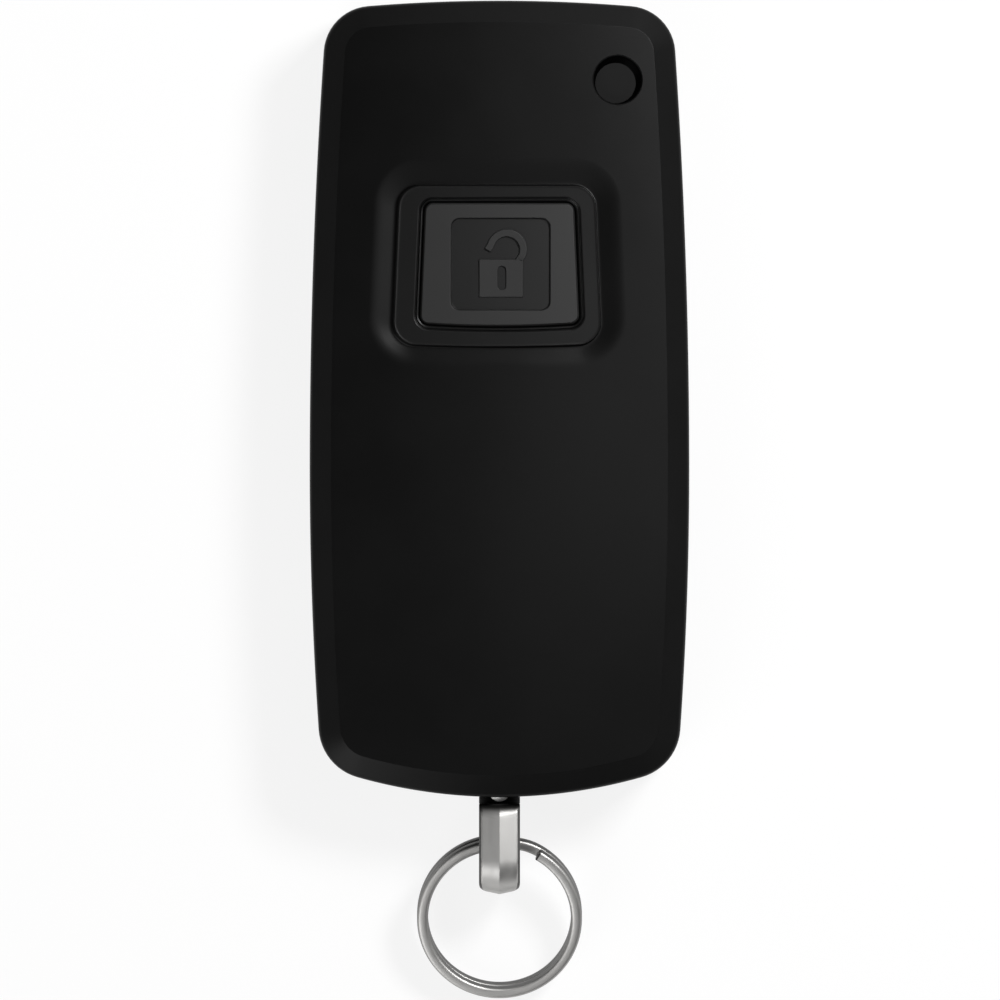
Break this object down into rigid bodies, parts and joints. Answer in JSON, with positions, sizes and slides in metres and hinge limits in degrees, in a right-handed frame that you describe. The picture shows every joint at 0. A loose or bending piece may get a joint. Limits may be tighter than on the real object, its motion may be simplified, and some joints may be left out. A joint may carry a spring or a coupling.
{
  "type": "door lock remote control",
  "caption": "Flat hand-held door lock remote with one button, a status lamp, a coin cell and a swivelling key loop with a split ring",
  "frame": {"origin": "middle of the flat rear face of the housing", "axes": "+Z out of the front face, +Y towards the lamp's end and away from the key loop, +X to the right seen from the front"},
  "size_m": [0.037, 0.0973, 0.0132],
  "materials": {
    "shell_plastic": "fine satin moulded",
    "button_plastic": "satin moulded",
    "silicone": "matt moulded",
    "plated_steel": "nickel plated",
    "black_nylon": "moulded",
    "spring_steel": "rolled",
    "smoked_window": "satin",
    "lamp_epoxy": "clear epoxy",
    "board_laminate": "solder mask",
    "chip_epoxy": "moulded epoxy",
    "capacitor_ceramic": "fired ceramic",
    "copper_wire": "tinned copper alloy",
    "cell_steel": "nickel plated steel",
    "seal_nylon": "natural nylon",
    "bush_plastic": "gloss moulded acetal",
    "satin_nickel": "satin nickel"
  },
  "bodies": {
    "housing": {"front_shell": "shell_plastic", "rear_shell": "shell_plastic", "case_gasket": "silicone", "case_screws": "plated_steel", "button_membrane": "silicone", "switch_base": "black_nylon", "switch_cover": "spring_steel", "switch_dome": "spring_steel", "switch_terminals": "spring_steel", "led_window": "smoked_window", "status_led": "lamp_epoxy", "circuit_board": "board_laminate", "controller_chip": "chip_epoxy", "radio_chip": "chip_epoxy", "crystal": "plated_steel", "chip_capacitors": "capacitor_ceramic", "antenna_loop": "copper_wire", "battery_can": "cell_steel", "battery_seal": "seal_nylon", "battery_lid": "cell_steel", "battery_clip": "spring_steel", "battery_contact": "copper_wire", "swivel_bush": "bush_plastic"},
    "button": {"button_cap": "button_plastic"},
    "switch_button": {"switch_plunger": "black_nylon"},
    "swivel": {"swivel_pin": "satin_nickel", "retaining_clip": "spring_steel", "swivel_loop": "satin_nickel"},
    "ring": {"split_ring": "satin_nickel"}
  },
  "joints": [
    {"name": "button_press", "type": "slide", "parent": "housing", "child": "button", "axis": [0, 0, -1], "range_m": [0, 0.0005], "stiffness_N_per_m": 3000, "deforming": ["button_membrane"]},
    {"name": "switch_press", "type": "slide", "parent": "housing", "child": "switch_button", "axis": [0, 0, -1], "range_m": [0, 0.00035], "deforming": ["switch_dome"]},
    {"name": "swivel_turn", "type": "hinge", "parent": "housing", "child": "swivel", "pos_m": [0, -0.03948, 0.0062], "axis": [0, 1, 0], "continuous": true},
    {"name": "ring_swing", "type": "hinge", "parent": "swivel", "child": "ring", "pos_m": [0, -0.04326, 0.00561], "axis": [1, 0, 0], "range_deg": [-113, 81]}
  ],
  "couplings": [
    {"joint": "switch_press", "follows": "button_press", "ratio": 0.5}
  ]
}
